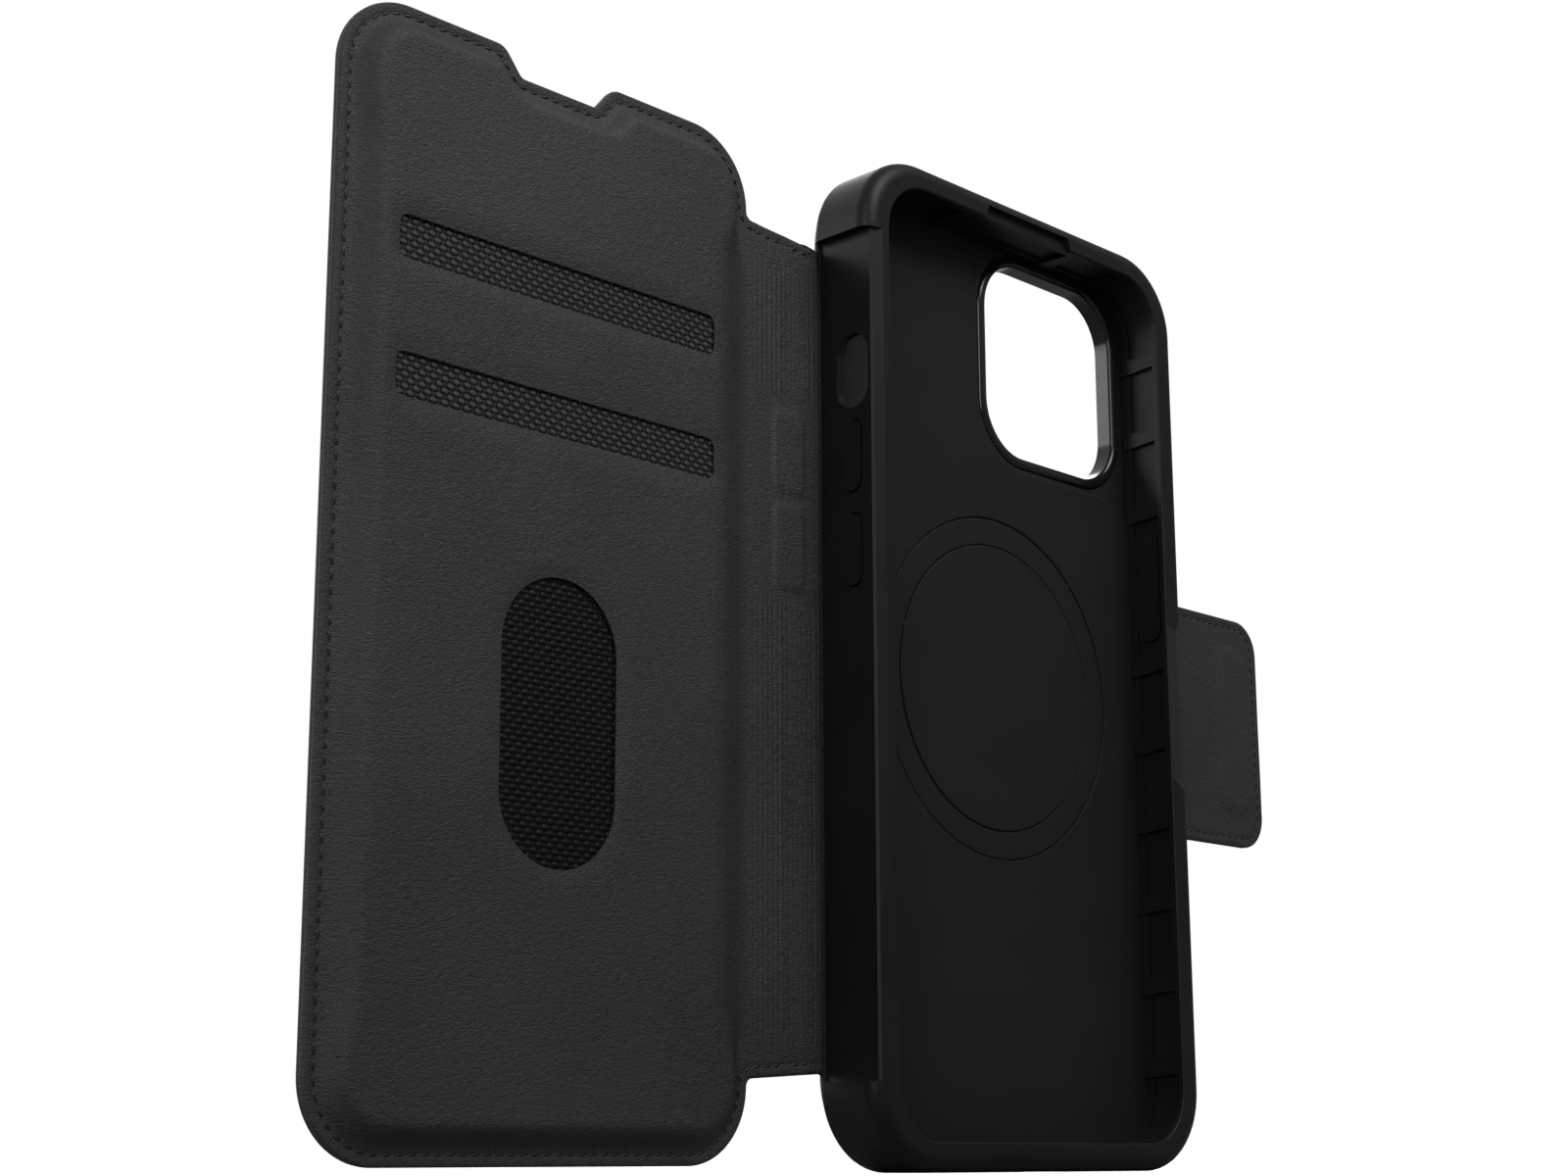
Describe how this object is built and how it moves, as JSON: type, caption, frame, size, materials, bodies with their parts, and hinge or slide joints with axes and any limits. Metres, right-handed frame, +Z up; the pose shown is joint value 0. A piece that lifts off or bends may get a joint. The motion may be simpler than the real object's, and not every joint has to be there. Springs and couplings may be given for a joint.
{
  "type": "phone wallet case",
  "caption": "Wallet folio phone case: cushioned shell with magnet ring, folding cover with card pockets, and a magnetic latch tab.",
  "frame": {"origin": "middle of the flat back face of the shell, half way up its long side", "axes": "+Z up the phone's long side, +X to the right seen from the screen side, +Y away from the screen; the rest pose is opened out flat"},
  "size_m": [0.206, 0.0124, 0.156],
  "materials": {
    "shell_rubber": "fine matte black moulded elastomer",
    "stiff_plastic": "matte black",
    "liner_cloth": "black microfibre",
    "gloss_black": "polished black",
    "black_leather": "fine grained black leather",
    "lining_leather": "fine grained soft black leather",
    "mesh_cloth": "black woven mesh",
    "thread": "black waxed thread",
    "board": "grey brown fibre board",
    "magnet_metal": "nickel plated magnet",
    "film": "clear adhesive film"
  },
  "bodies": {
    "shell": {"bumper_frame": "shell_rubber", "back_plate": "stiff_plastic", "ring_magnets": "magnet_metal", "ring_magnet_film": "film", "phone_liner": "liner_cloth", "camera_bezel": "gloss_black", "back_panel": "black_leather"},
    "power_key_body": {"power_key": "stiff_plastic"},
    "volume_up_body": {"volume_up_key": "stiff_plastic"},
    "volume_down_body": {"volume_down_key": "stiff_plastic"},
    "spine": {"spine_outer": "black_leather", "spine_lining": "lining_leather", "spine_key_pads": "stiff_plastic", "spine_stitching": "thread"},
    "cover": {"cover_outer": "black_leather", "cover_lining": "lining_leather", "cover_board": "board", "upper_pocket_mesh": "mesh_cloth", "lower_pocket_mesh": "mesh_cloth", "cover_catch_magnets": "magnet_metal", "cover_stitching": "thread"},
    "latch_side": {"latch_side_outer": "black_leather", "latch_side_lining": "lining_leather", "latch_side_stitching": "thread"},
    "latch_tip": {"latch_tip_outer": "black_leather", "latch_tip_lining": "lining_leather", "latch_magnets": "magnet_metal", "latch_magnet_carrier": "stiff_plastic", "latch_tip_stitching": "thread"}
  },
  "joints": [
    {"name": "spine_fold", "type": "hinge", "parent": "shell", "child": "spine", "pos_m": [-0.0395, -0.0008, 0], "axis": [0, 0, 1], "range_deg": [-90, 90]},
    {"name": "cover_fold", "type": "hinge", "parent": "spine", "child": "cover", "pos_m": [-0.0546, -0.0008, 0], "axis": [0, 0, 1], "range_deg": [-90, 90]},
    {"name": "latch_fold", "type": "hinge", "parent": "shell", "child": "latch_side", "pos_m": [0.0412, -0.0008, 0], "axis": [0, 0, -1], "range_deg": [-60, 90]},
    {"name": "latch_tip_fold", "type": "hinge", "parent": "latch_side", "child": "latch_tip", "pos_m": [0.0585, -0.0008, 0], "axis": [0, 0, -1], "range_deg": [-30, 90]},
    {"name": "power_press", "type": "slide", "parent": "shell", "child": "power_key_body", "axis": [-1, 0, 0], "range_m": [0, 0.0003], "stiffness_N_per_m": 60},
    {"name": "volume_up_press", "type": "slide", "parent": "shell", "child": "volume_up_body", "axis": [1, 0, 0], "range_m": [0, 0.0003], "stiffness_N_per_m": 60},
    {"name": "volume_down_press", "type": "slide", "parent": "shell", "child": "volume_down_body", "axis": [1, 0, 0], "range_m": [0, 0.0003], "stiffness_N_per_m": 60}
  ]
}
